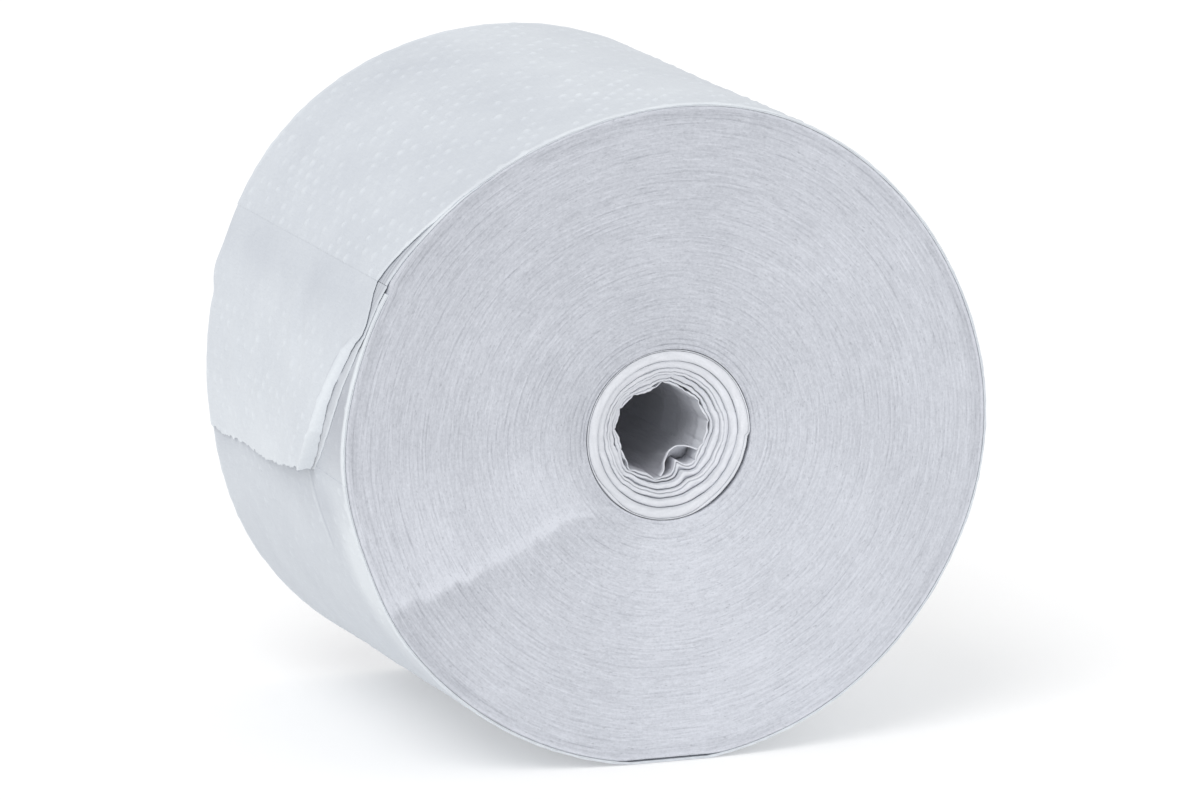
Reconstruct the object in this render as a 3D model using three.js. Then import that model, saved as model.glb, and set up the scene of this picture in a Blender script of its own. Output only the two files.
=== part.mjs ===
// Coreless centre-pull tissue roll lying on its side.
//
// One continuous two-ply web of perforated sheets is wound on a mandrel that is
// pulled out again, so the middle is an open bore lined by a few loose, crinkled
// turns. The outer end of the web hangs down one side as a short tail.
//
// Frame, millimetres: the roll axis runs along Y, the front end face looks to -Y,
// +Z is up. The origin is the middle of the strip where the soft roll has
// flattened against whatever it lies on.

import * as THREE from 'three';
import { mergeVertices } from 'three/addons/utils/BufferGeometryUtils.js';

// ---- driving dimensions ------------------------------------------------------
const ROLL_R = 95;            // outside radius of the roll
const ROLL_W = 135;           // width of the web, so the length of the roll
const SAG = 1.2;              // how far the roll has flattened where it rests
const SHEET_LEN = 180;        // sheet length between two perforation lines
const GAP = 0.3;              // clearance between two layers that lie on each other
const TURN_T = 1.2;           // outermost turn, two embossed plies as they lie
const PLY_T = 0.5;            // one loose ply of the tail with its embossing

const TAIL_ROOT = 150;        // perforation where the tail lifts, degrees from +X
const TAIL_END = 189;         // torn end of the tail, at the back of the roll
const TAIL_END_FRONT = 184.4; // the same end at its front corner
const TAIL_INSET = 30.5;      // the front corner stands this far back from the end face
const TAIL_LIFT = 3.2;        // how far the front corner stands off the turn below

const MANDREL_R = 24.4;       // radius that the roll was wound on
const BORE_TURNS = [          // loose turns round the bore, from outside to inside
  // middle radius, thickness, crinkle height, how far the edge lies back from the end face
  { name: 'core_turn_1', r: 22.55, t: 3.1, wave: 0.0, inset: 0.4 },
  { name: 'core_turn_2', r: 19.6, t: 1.9, wave: 0.15, inset: 1.4 },
  { name: 'core_turn_3', r: 17.35, t: 1.6, wave: 0.35, inset: 2.8 },
  { name: 'core_turn_4', r: 15.5, t: 1.0, wave: 0.6, inset: 4.4 },
  { name: 'core_turn_5', r: 13.95, t: 0.9, wave: 0.9, inset: 6.0 },
];
const PLEAT_AT = 293;         // where every loose turn is pleated towards the bore
const END_AT = 303;           // middle of the arch that the inner free end makes

const AXIS_Z = ROLL_R - SAG;  // height of the roll axis
const DEG = Math.PI / 180;

// ---- outlines ----------------------------------------------------------------
const smooth = (a, b, x) => {
  const t = Math.min(1, Math.max(0, (x - a) / (b - a)));
  return t * t * (3 - 2 * t);
};

// A layer of nominal radius r, flattened on its underside.
function flattened(r, deg) {
  const s = -Math.sin(deg * DEG);
  return s > 0 ? Math.min(r, (r - SAG) / s) : r;
}

// Below the tail the web lies one turn deeper, because it is a spiral.
function depth(deg) {
  const d = ((deg % 360) + 360) % 360;
  return (TURN_T + GAP) * smooth(TAIL_ROOT + 0.6, TAIL_ROOT + 3.4, d) * (1 - smooth(196, 215, d));
}

function layer(r) {
  const outline = (deg) => flattened(r - depth(deg), deg);
  outline.edge = Math.acos(1 - SAG / r) / DEG;     // half width of its flat, degrees
  return outline;
}
const bodyR = layer(ROLL_R - TURN_T - GAP);
const turnIn = layer(ROLL_R - TURN_T);
const turnOut = layer(ROLL_R);

// Crinkle of the loose turns, in mm for a crinkle height of 1.
function crinkle(deg) {
  const a = deg * DEG;
  const ripple = 0.5 * Math.sin(5 * a + 0.7) + 0.3 * Math.sin(8 * a + 2.1) + 0.2 * Math.sin(3 * a);
  const d = ((deg - PLEAT_AT + 540) % 360) - 180;
  return ripple - 2.2 * Math.exp(-((d / 8) ** 2));
}

const point = (r, deg) => new THREE.Vector2(r * Math.cos(deg * DEG), r * Math.sin(deg * DEG));

// Angles from deg0 to deg1 in even steps. Across the flattened strip only its two
// edges are kept, so that the strip is one true flat face.
function angles(deg0, deg1, steps, radius) {
  const all = Array.from({ length: steps + 1 }, (_, i) => deg0 + ((deg1 - deg0) * i) / steps);
  if (!radius.edge) return all;
  const kept = all.filter((d) => Math.abs(((((d - 270) % 360) + 540) % 360) - 180) > radius.edge + 0.5);
  for (const middle of [-90, 270]) {
    for (const d of [middle - radius.edge, middle + radius.edge]) if (d > deg0 && d < deg1) kept.push(d);
  }
  return kept.sort((p, q) => p - q);
}

const ringPoints = (radius, steps) =>
  angles(0, 360, steps, radius).slice(0, -1).map((deg) => point(radius(deg), deg));

// ---- solids --------------------------------------------------------------------
// Extrudes an outline in the roll's cross-section along its axis, from y0 to y1.
function alongAxis(shape, y0, y1) {
  const geometry = new THREE.ExtrudeGeometry(shape, { depth: y1 - y0, bevelEnabled: false, curveSegments: 1 });
  geometry.rotateX(Math.PI / 2);            // outline x, y becomes X, Z; depth runs to -Y
  geometry.translate(0, y1, AXIS_Z);
  return geometry;
}

function ring(outer, inner, steps, innerSteps, y0, y1) {
  const shape = new THREE.Shape(ringPoints(outer, steps));
  shape.holes.push(new THREE.Path(ringPoints(inner, innerSteps).reverse()));
  return alongAxis(shape, y0, y1);
}

// Part of a turn between two perforation lines, from deg0 up to deg1.
function arcSheet(inner, outer, deg0, deg1, steps, y0, y1) {
  const outside = angles(deg0, deg1, steps, outer).map((deg) => point(outer(deg), deg));
  const inside = angles(deg0, deg1, steps, inner).map((deg) => point(inner(deg), deg));
  return alongAxis(new THREE.Shape([...outside, ...inside.reverse()]), y0, y1);
}

// A plate bent over the roll: a subdivided box whose corners u, v, w in 0..1 are
// carried to (angle, place along the axis, radius). The angle runs against the box's
// own x, so that the faces keep looking out.
function bentPlate(nu, nv, place) {
  const geometry = mergeVertices(stripped(new THREE.BoxGeometry(1, 1, 1, nu, nv, 1)));
  const p = geometry.attributes.position;
  for (let i = 0; i < p.count; i++) {
    const [deg, y, r] = place(0.5 - p.getX(i), p.getY(i) + 0.5, p.getZ(i) + 0.5);
    p.setXYZ(i, r * Math.cos(deg * DEG), y, r * Math.sin(deg * DEG) + AXIS_Z);
  }
  geometry.computeVertexNormals();
  return geometry;
}

function stripped(geometry) {
  geometry.deleteAttribute('normal');
  geometry.deleteAttribute('uv');
  return geometry;
}

// ---- colours -------------------------------------------------------------------
const finish = (hex) => new THREE.MeshStandardMaterial({ color: hex, roughness: 0.92, metalness: 0 });
const END_FACE = 0xd4d8de;
const EMBOSSED = 0xe9ecef;
const LOOSE = 0xeceef0;

const group = new THREE.Group();
function piece(name, geometry, hex) {
  const mesh = new THREE.Mesh(geometry, finish(hex));
  mesh.name = name;
  group.add(mesh);
  return mesh;
}

const FRONT = -ROLL_W / 2;
const BACK = ROLL_W / 2;

// Main winding, with the hole that the mandrel left.
piece('wound_body', ring(bodyR, () => MANDREL_R, 144, 72, FRONT, BACK), END_FACE);

// Outermost turn, sheet by sheet, going round from the tail's perforation.
const SHEET_DEG = SHEET_LEN / ROLL_R / DEG;
const SLIT = 0.12;            // half of the perforation gap, degrees
const cut = [0, 1, 2, 3].map((i) => TAIL_ROOT - i * SHEET_DEG);
piece('outer_sheet_1', arcSheet(turnIn, turnOut, cut[1] + SLIT, cut[0] - SLIT, 40, FRONT, BACK), EMBOSSED);
piece('outer_sheet_2', arcSheet(turnIn, turnOut, cut[2] + SLIT, cut[1] - SLIT, 40, FRONT, BACK), EMBOSSED);
piece('outer_sheet_3', arcSheet(turnIn, turnOut, cut[3] + SLIT, cut[2] - SLIT, 44, FRONT, BACK), EMBOSSED);
// The next sheet lies under the tail.
piece('outer_sheet_4', arcSheet(turnIn, turnOut, TAIL_ROOT + 4, cut[3] + 360 - SLIT, 16, FRONT, BACK), EMBOSSED);

// The tail: two plies, free along the torn end and the front edge.
function tailPlate(rIn, thickness) {
  return bentPlate(20, 10, (u, v, w) => {
    const end = TAIL_END_FRONT + (TAIL_END - TAIL_END_FRONT) * smooth(0, 0.6, v);
    const root = TAIL_ROOT + 0.3;
    const deg = root + (end - root) * u;
    const inset = 1 + (TAIL_INSET - 1) * Math.pow(u, 1.7);
    const y = FRONT + inset + (ROLL_W - inset - 0.4) * v;
    const lift = TAIL_LIFT * smooth(0.15, 0.9, u) * (1 - smooth(0, 0.55, v));
    return [deg, y, rIn + lift + thickness * w];
  });
}
const TAIL_IN = ROLL_R - TURN_T + GAP - (TURN_T - 2 * PLY_T);
piece('tail_inner_ply', tailPlate(TAIL_IN, PLY_T), EMBOSSED);
piece('tail_outer_ply', tailPlate(TAIL_IN + PLY_T + GAP, PLY_T), EMBOSSED);

// Loose turns round the bore. They slide on each other towards the front.
for (const turn of BORE_TURNS) {
  const wavy = (side) => (deg) => turn.r + turn.wave * crinkle(deg) + (side * turn.t) / 2;
  piece(turn.name, ring(wavy(1), wavy(-1), 90, 90, FRONT + turn.inset, BACK - 0.4), LOOSE);
}

// Free inner end of the web, arched off the innermost turn into the bore.
{
  const last = BORE_TURNS[BORE_TURNS.length - 1];
  const half = 28;
  const rise = (deg) => {
    const c = Math.cos((((deg - END_AT) / half) * Math.PI) / 2);
    return 11.8 - 4.5 * c * c;
  };
  piece(
    'inner_end',
    arcSheet((d) => rise(d) - 0.4, (d) => rise(d) + 0.4, END_AT - half, END_AT + half, 26, FRONT + last.inset + 0.6, BACK - 1),
    LOOSE,
  );
}

export default group;
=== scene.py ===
import math

import bpy
import numpy as np
from mathutils import Matrix, Vector


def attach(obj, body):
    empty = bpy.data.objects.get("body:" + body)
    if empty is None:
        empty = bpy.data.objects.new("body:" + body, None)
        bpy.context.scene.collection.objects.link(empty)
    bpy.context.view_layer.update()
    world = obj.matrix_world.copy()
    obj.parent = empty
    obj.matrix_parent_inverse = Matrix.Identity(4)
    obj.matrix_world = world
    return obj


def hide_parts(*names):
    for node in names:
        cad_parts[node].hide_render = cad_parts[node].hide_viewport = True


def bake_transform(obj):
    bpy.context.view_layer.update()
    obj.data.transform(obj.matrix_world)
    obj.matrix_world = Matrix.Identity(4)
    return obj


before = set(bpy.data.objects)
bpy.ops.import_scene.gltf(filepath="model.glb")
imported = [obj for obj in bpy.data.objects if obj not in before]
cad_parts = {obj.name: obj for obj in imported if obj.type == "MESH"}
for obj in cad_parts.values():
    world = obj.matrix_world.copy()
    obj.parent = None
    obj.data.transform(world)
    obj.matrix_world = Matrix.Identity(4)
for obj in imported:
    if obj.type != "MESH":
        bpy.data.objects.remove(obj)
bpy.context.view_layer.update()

# ---- the roll, in millimetres and degrees (as in the CAD source) ---------------------
MM = 0.001
DEG = math.pi / 180
ROLL_R, ROLL_W, SAG = 95.0, 135.0, 1.2
AXIS_Z = ROLL_R - SAG
FRONT, BACK = -ROLL_W / 2, ROLL_W / 2
TURN_T, GAP = 1.2, 0.3
SHEET_DEG = 180.0 / ROLL_R / DEG
TAIL_ROOT = 150.0
CUTS = [TAIL_ROOT - i * SHEET_DEG for i in range(4)]
MANDREL_R = 24.4
# name, body, middle radius, thickness, crinkle height, how far its edge lies back
BORE_TURNS = [
    ("core_turn_1", "first_turn", 22.55, 3.1, 0.0, 0.4),
    ("core_turn_2", "second_turn", 19.6, 1.9, 0.15, 1.4),
    ("core_turn_3", "third_turn", 17.35, 1.6, 0.35, 2.8),
    ("core_turn_4", "fourth_turn", 15.5, 1.0, 0.6, 4.4),
    ("core_turn_5", "innermost_turn", 13.95, 0.9, 0.9, 6.0),
]
PLEAT_AT, END_AT = 293.0, 303.0
# lattice of the embossed dots: along the web, across it
DOT_A, DOT_Y = 7.49, 7.24

# ---- small maths ------------------------------------------------------------------
TABLE = np.random.RandomState(20).uniform(-1, 1, 65536)


def smooth(a, b, x):
    t = np.clip((np.asarray(x, float) - a) / (b - a), 0, 1)
    return t * t * (3 - 2 * t)


def bell(x, centre, width):
    return np.exp(-(((np.asarray(x, float) - centre) / width) ** 2))


def wrap(deg):
    """An angle between -180 and 180."""
    return (np.asarray(deg, float) + 180) % 360 - 180


def knot(ix, iy, seed):
    return TABLE[(ix * 7919 + iy * 104729 + seed * 1299709) & 65535]


def noise(x, y=0.0, seed=0):
    """Smooth noise between -1 and 1, the same on every run."""
    x, y = np.broadcast_arrays(np.asarray(x, float), np.asarray(y, float))
    ix, iy = np.floor(x).astype(np.int64), np.floor(y).astype(np.int64)
    fx, fy = x - ix, y - iy
    fx, fy = fx * fx * (3 - 2 * fx), fy * fy * (3 - 2 * fy)
    a = knot(ix, iy, seed) * (1 - fx) + knot(ix + 1, iy, seed) * fx
    b = knot(ix, iy + 1, seed) * (1 - fx) + knot(ix + 1, iy + 1, seed) * fx
    return a * (1 - fy) + b * fy


def round_noise(deg, size, seed, y=0.0):
    """Noise that closes on itself round the roll. size is how many bumps fit in a radian."""
    a = np.asarray(deg, float) * DEG
    c, s = np.cos(a) * size, np.sin(a) * size
    return noise(c + 31.7 + y, s + 11.3 - 0.6 * np.asarray(y, float), seed)


def flattened(r, deg, lift=0.0):
    """A layer's radius where the roll has flattened on what it lies on."""
    s = -np.sin(np.asarray(deg, float) * DEG)
    return np.where(s > 0.2, np.minimum(r, (AXIS_Z - lift) / np.maximum(s, 0.2)), r)


def depth(deg):
    """Below the tail the web lies one turn deeper."""
    d = np.asarray(deg, float) % 360
    return 0.9 * smooth(TAIL_ROOT, TAIL_ROOT + 0.9, d) * (1 - smooth(196, 215, d))


# A soft roll isn't truly round: millimetres at the outside, second to fifth harmonic.
SHAPE_FRONT = [0.6, -0.08, -0.32, 0.39, -0.1, -0.46, 0.35, 0.19]
SHAPE_BACK = [-1.12, -0.46, 1.32, 0.16, 0.03, -0.08, 0.48, -0.2]


def out_of_round(r, deg, y):
    a = np.asarray(deg, float) * DEG
    t = np.clip((np.asarray(y, float) - FRONT) / ROLL_W, 0, 1)
    total = 0.0
    for i, k in enumerate((2, 3, 4, 5)):
        total = total + (SHAPE_FRONT[2 * i] * (1 - t) + SHAPE_BACK[2 * i] * t) * np.cos(k * a)
        total = total + (SHAPE_FRONT[2 * i + 1] * (1 - t) + SHAPE_BACK[2 * i + 1] * t) * np.sin(k * a)
    d = np.asarray(deg, float)
    total = total + 0.85 * (1 - t) * bell(wrap(d + 8), 0, 24) + 0.7 * t * bell(wrap(d - 198), 0, 13)
    total = total - 0.45 * t * bell(wrap(d - 168), 0, 15)
    total = total + (1 - t) * (2.5 * bell(wrap(d - 183), 0, 16) + 1.15 * bell(wrap(d - 208), 0, 17))
    total = total * (1 - bell(wrap(d - 270), 0, 34))
    return total * (np.asarray(r, float) / ROLL_R) ** 2


def at(r, deg, y):
    """Points in millimetres from radius, angle and place along the axis."""
    r, deg, y = np.broadcast_arrays(np.asarray(r, float), np.asarray(deg, float), np.asarray(y, float))
    a = deg * DEG
    return np.stack([r * np.cos(a), y, r * np.sin(a) + AXIS_Z], -1)


# ---- meshes -----------------------------------------------------------------------
def quads_of(n, m, close_n=False, close_m=False):
    """Quads of an n by m grid of points, in rows of m."""
    i = np.arange(n if close_n else n - 1)
    j = np.arange(m if close_m else m - 1)
    i, j = np.meshgrid(i, j, indexing="ij")
    i2, j2 = (i + 1) % n, (j + 1) % m
    return np.stack([i * m + j, i2 * m + j, i2 * m + j2, i * m + j2], -1).reshape(-1, 4)


def volume(points, quads):
    a, b, c, d = (points[quads[:, k]] for k in range(4))
    return float((np.einsum("ij,ij->i", a, np.cross(b, c)) + np.einsum("ij,ij->i", a, np.cross(c, d))).sum())


def mesh(name, points, quads, faces=(), layers=None, flip=None):
    """A mesh object from millimetre points, quads and longer faces, with smooth shading."""
    points = np.asarray(points, float).reshape(-1, 3)
    centre = points.mean(0)
    if flip is None:
        flip = volume(points - centre, quads) < 0
    if flip:
        quads = quads[:, ::-1]
        faces = [list(f)[::-1] for f in faces]
    loops = np.concatenate([quads.ravel()] + [np.asarray(f) for f in faces]).astype(np.int32)
    sizes = np.concatenate([np.full(len(quads), 4), [len(f) for f in faces]]).astype(np.int64)
    me = bpy.data.meshes.new(name)
    me.vertices.add(len(points))
    me.vertices.foreach_set("co", (points * MM).astype(np.float32).ravel())
    me.loops.add(len(loops))
    me.loops.foreach_set("vertex_index", loops)
    me.polygons.add(len(sizes))
    me.polygons.foreach_set("loop_start", (np.cumsum(sizes) - sizes).astype(np.int32))
    me.update(calc_edges=True)
    me.polygons.foreach_set("use_smooth", np.ones(len(sizes), bool))
    for layer, values in (layers or {}).items():
        found = me.attributes.new(layer, "FLOAT", "POINT")
        found.data.foreach_set("value", np.asarray(values, np.float32).ravel())
    me.validate()
    me.set_sharp_from_angle(angle=55 * DEG)
    ob = bpy.data.objects.new(name, me)
    bpy.context.scene.collection.objects.link(ob)
    return ob


class Parts:
    """Several closed bits gathered into one piece."""

    def __init__(self):
        self.points, self.quads, self.faces, self.layers, self.count = [], [], [], {}, 0

    def add(self, points, quads, faces=(), **layers):
        points = np.asarray(points, float).reshape(-1, 3)
        if volume(points - points.mean(0), quads) < 0:
            quads = quads[:, ::-1]
            faces = [list(f)[::-1] for f in faces]
        self.points.append(points)
        self.quads.append(quads + self.count)
        self.faces += [[k + self.count for k in f] for f in faces]
        for name, values in layers.items():
            self.layers.setdefault(name, []).append(
                np.broadcast_to(np.asarray(values, float).ravel() if np.ndim(values) else values, len(points))
            )
        self.count += len(points)

    def add_as_is(self, points, quads, faces=(), **layers):
        """Adds a bit whose faces already look out."""
        self.points.append(points)
        self.quads.append(quads + self.count)
        self.faces += [[k + self.count for k in f] for f in faces]
        for name, values in layers.items():
            self.layers.setdefault(name, []).append(np.broadcast_to(np.asarray(values, float), len(points)))
        self.count += len(points)

    def build(self, name):
        return mesh(
            name,
            np.concatenate(self.points),
            np.concatenate(self.quads),
            self.faces,
            {k: np.concatenate(v) for k, v in self.layers.items()},
            flip=False,
        )


ARC = ROLL_R * DEG


def along(deg, y, p, q, width):
    """A soft ridge from p to q, each (degrees, millimetres behind the end face)."""
    a = np.array([p[0] * ARC, p[1]])
    b = np.array([q[0] * ARC, q[1]])
    d = b - a
    x = np.stack([deg * ARC - a[0], (y - FRONT) - a[1]], -1)
    t = np.clip((x @ d) / (d @ d), 0, 1)
    away = np.linalg.norm(x - t[..., None] * d, axis=-1)
    return np.exp(-((away / width) ** 2)) * np.sin(math.pi * np.clip((x @ d) / (d @ d), 0, 1)) ** 0.5


# ---- the embossed web ---------------------------------------------------------------
# front edge of the outer ply, and of the inner one, as angle to place behind the end face
EDGE_DEG = [150.2, 151.8, 154.5, 157.0, 159.0, 160.8, 164.7, 170.4, 177.3, 182.3, 185.0]
EDGE_IN = [9.0, 7.8, 4.6, 2.4, 2.2, 4.6, 8.0, 11.6, 16.6, 24.2, 29.8]
UNDER_IN = [2.0, 2.0, 1.5, 1.2, 1.2, 2.4, 4.8, 8.4, 14.2, 22.8, 29.0]


def cockle(arc, y):
    """Slow waves in the outer turn."""
    return 0.16 * noise(arc / 23.0, y / 41.0, 3) + 0.09 * noise(arc / 9.0, y / 15.0, 4)


def strength(arc, y):
    deg = arc / (ROLL_R * DEG)
    best = 0.50 + 0.50 * bell(wrap(deg - 118), 0, 45)
    best = best * (0.72 + 0.28 * (1 - smooth(25, 70, y - FRONT)))
    return best * (0.72 + 0.28 * noise(arc / 30.0, y / 22.0, 5))


def dots(arc, y):
    """Raised dots on a centred lattice, 0 to 1, each a little different."""
    a, b = arc / (DOT_A / 2), y / (DOT_Y / 2)
    i, j = np.rint(a).astype(np.int64), np.rint(b).astype(np.int64)
    here = (i + j) % 2 == 0
    da = (a - i) * (DOT_A / 2) - 0.34 * knot(i, j, 7)
    dy = (b - j) * (DOT_Y / 2) - 0.34 * knot(j, i, 8)
    size = 1.08 + 0.26 * knot(i, j, 9)
    high = np.clip(0.58 + 0.75 * knot(i, j, 10), 0.04, 1.25)
    d = np.sqrt(da * da + dy * dy) / size
    return np.where(here, high * np.clip(1.1 * np.exp(-(d ** 2.5)), 0, 1), 0.0)


def web_lines(low, high, step, clear=0.12):
    """Sampling positions that crowd round each row of dots."""
    k = np.arange(math.floor(low / step) - 1, math.ceil(high / step) + 2)
    spots = (k[:, None] * step + np.array([-1.05, -0.66, -0.28, 0.1, 0.5, 0.95])[None, :]).ravel()
    spots = np.concatenate([spots, k * step + step / 2])
    spots = np.sort(spots[(spots > low + clear) & (spots < high - clear)])
    return np.concatenate([[low], spots, [high]])


def perforated(arc, y, cuts):
    """How much the web sinks along its perforation lines: short cuts with ties between."""
    total = 0.0
    for c in cuts:
        tie = smooth(0.28, 0.5, np.abs(((y / 5.2) % 1.0) - 0.5) * 2)
        total = total + bell(arc, c, 0.45) * 0.05 * (1 - tie)
    return total


EMBOSS = 0.66
MARGIN_LIFT = 0.12            # how far the loose front margin stands off next to the tail


def web_height(arc, y):
    fold = along((arc / (ROLL_R * DEG)) % 360, y, (185.5, 34), (200, 29), 1.0)
    return cockle(arc, y) - 0.22 * fold + EMBOSS * strength(arc, y) * dots(arc, y)


def front_margin(deg):
    """How far the outer turn's front margin has drawn back, next to the tail."""
    return np.interp(deg, [100, 128, 136, 139.8, 144.2, 147.9, 150.2], [0.05, 0.1, 0.9, 2.8, 5.6, 8.0, 9.0])


def outer_sheet(name, deg0, deg1, drawn_back=False):
    """One sheet of the outer turn: a slab of two plies with dots raised on its outside."""
    scale = ROLL_R * DEG
    arcs = web_lines(deg0 * scale, deg1 * scale, DOT_A / 2)
    ys = web_lines(FRONT - 0.08, BACK + 0.08, DOT_Y / 2)
    arc, y = np.meshgrid(arcs, ys, indexing="ij")
    deg = arc / scale
    if drawn_back:
        y = y + front_margin(deg) * (1 - smooth(FRONT, FRONT + 30, y))
    edge = np.minimum(arc - arcs[0], arcs[-1] - arc)
    rim = np.minimum(y - y[:, :1], BACK - y)
    height = web_height(arc, y) * (0.35 + 0.65 * smooth(0, 4.0, rim)) - perforated(arc, y, [arcs[0], arcs[-1]])
    base = ROLL_R - 0.42 - depth(deg) + out_of_round(ROLL_R, deg, y)
    # the rim is softly rounded and stands a little proud, irregularly
    soft = 0.16 * (1 - smooth(0, 0.5, rim)) - 0.22 * bell(rim, 0.9, 0.9)
    soft = soft + 0.12 * noise(arc / 2.1, 0, 12) * (1 - smooth(0, 2.0, rim))
    lifted = 0.0
    if drawn_back:
        # next to the tail the outer ply's margin has come away from the ply under it
        free = smooth(132, 147, deg)
        lifted = free * MARGIN_LIFT * (1 - smooth(0, 9, y - y[:, :1]))
    r = flattened(base + height - soft + lifted, deg, 0.0)
    top = at(r, deg, y)
    n, m = arc.shape
    under = 0.62 - (0.30 * smooth(126, 131, deg[:, 0]) if drawn_back else 0.0)
    inner = flattened(base[:, 0] - under + (lifted[:, 0] if drawn_back else 0.0), deg[:, 0], 0.55)
    inner_back = flattened(base[:, -1] - 0.62, deg[:, -1], 0.55)
    fray = 0.10 * noise(arcs / 0.9, 0, 13) + 0.08 * noise(arcs / 3.1, 0, 14)

    def edge_rows(r_top, r_in, y_edge, side):
        # two plies seen edge on, with a fine gap between them
        t = [0.30, 0.44, 0.50, 0.58, 1.0]
        back = [0.0, 0.02, 0.16, 0.0, 0.05]
        return [at(r_top + (r_in - r_top) * a, deg[:, 0], y_edge + side * (b + fray * (b < 0.1))) for a, b in zip(t, back)]

    front = edge_rows(r[:, 0], inner, y[:, 0], 1)
    rear = edge_rows(r[:, -1], inner_back, y[:, -1], -1)
    # the inside, which only shows where the margin has come away
    way = []
    if drawn_back:
        for back in (12.0, 5.0, 2.0):
            yy = y[:, 0] + back
            up = smooth(132, 147, deg[:, 0]) * MARGIN_LIFT * (1 - smooth(0, 9, back))
            way.append(at(flattened(base[:, 0] - under + up, deg[:, 0], 0.55), deg[:, 0], yy))
    # closed section for every angle: top row, down the back, across the inside, up the front
    section = np.concatenate(
        [top] + [p[:, None, :] for p in rear] + [p[:, None, :] for p in way] + [p[:, None, :] for p in reversed(front)], axis=1
    )
    k = section.shape[1]
    quads = quads_of(n, k, close_m=True)
    faces = [list(range(k)), list(range((n - 1) * k, n * k))[::-1]]
    points = section.reshape(-1, 3)
    if volume(points - points.mean(0), quads) < 0:
        quads = quads[:, ::-1]
    else:
        faces = [f[::-1] for f in faces]
    # the dot attribute lightens the raised dots: a painted highlight
    dots_here = np.concatenate([dots(arc, y) * strength(arc, y) * 1.2, np.zeros((n, k - m))], 1)
    # painted highlight along the front and back rims, weaker beside the tail root, with the web's painted side light
    # added to it
    painted_top_light = (0.42 + 0.2 * noise(arc / 7.0, 0, 15)) * bell(rim, 0.5, 1.1)
    painted_top_light = painted_top_light * (1 - 0.6 * bell(deg % 360, 154, 7)) + painted_web_light(deg, y)
    # the edge rows get a painted highlight; the inside rows, bared under the lifted margin, get painted shade
    tone = np.concatenate([painted_top_light, np.full((n, k - m), 0.25)], 1)
    tone[:, m + 5 : k - 5] = -0.3
    parts = Parts()
    # grey here is painted shadow beside the tail
    grey = np.concatenate([shaded(deg, y), np.zeros((n, k - m))], 1)
    parts.add_as_is(points, quads, faces, dot=dots_here.ravel(), tone=tone.ravel(), grey=grey.ravel())
    if drawn_back:
        points, quads, faces, tone, grey = under_ply()
        parts.add(points, quads, faces, dot=0.0, tone=tone, grey=grey)
    return parts.build(name)


def painted_web_light(deg, y):
    """Painted light on the web: painted shade down the side from the top round to the tail, painted shadow under the
    tail's margin and below its torn end, a painted highlight by the front rim below the tail, and painted shade and a
    painted highlight along a fold.
    """
    d = np.asarray(deg, float) % 360
    back = y - FRONT
    tone = -0.20 * smooth(94, 112, d) * (1 - smooth(150, 152, d))
    tone = tone - 0.30 * bell(d, 172, 12) * (1 - smooth(20, 40, back)) * smooth(1.5, 3.5, back)
    tone = tone - 0.22 * bell(d, 189, 5) + 0.04 * bell(d, 222, 14) - 0.16 * smooth(186, 192, d) * (1 - smooth(225, 245, d))
    # painted highlight by the front rim below the tail
    tone = tone + 0.80 * (1 - smooth(6, 24, back)) * bell(d, 199, 12)
    tone = tone - 0.45 * along(d, y, (185.5, 34), (200, 29), 0.9) + 0.25 * along(d, y, (185.5, 36), (200, 31.5), 1.2)
    return tone


def shaded(deg, y):
    """Painted shadow on the strip of web beside the tail, where the margin hangs over it, and a painted shadow line
    along the margin near its root.
    """
    d = np.asarray(deg, float) % 360
    back = y - FRONT
    reach = np.interp(d, EDGE_DEG, UNDER_IN)
    strip = smooth(1.2, 2.8, back) * (1 - smooth(reach + 3, reach + 8, back))
    line = bell(back, 2.0, 0.9) * smooth(150.5, 153, d) * (1 - smooth(160, 165, d))
    return 0.33 * strip * smooth(156, 166, d) * (1 - smooth(179, 188, d)) * (1 + 0.35 * bell(d, 170, 8)) + 0.45 * line


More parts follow.
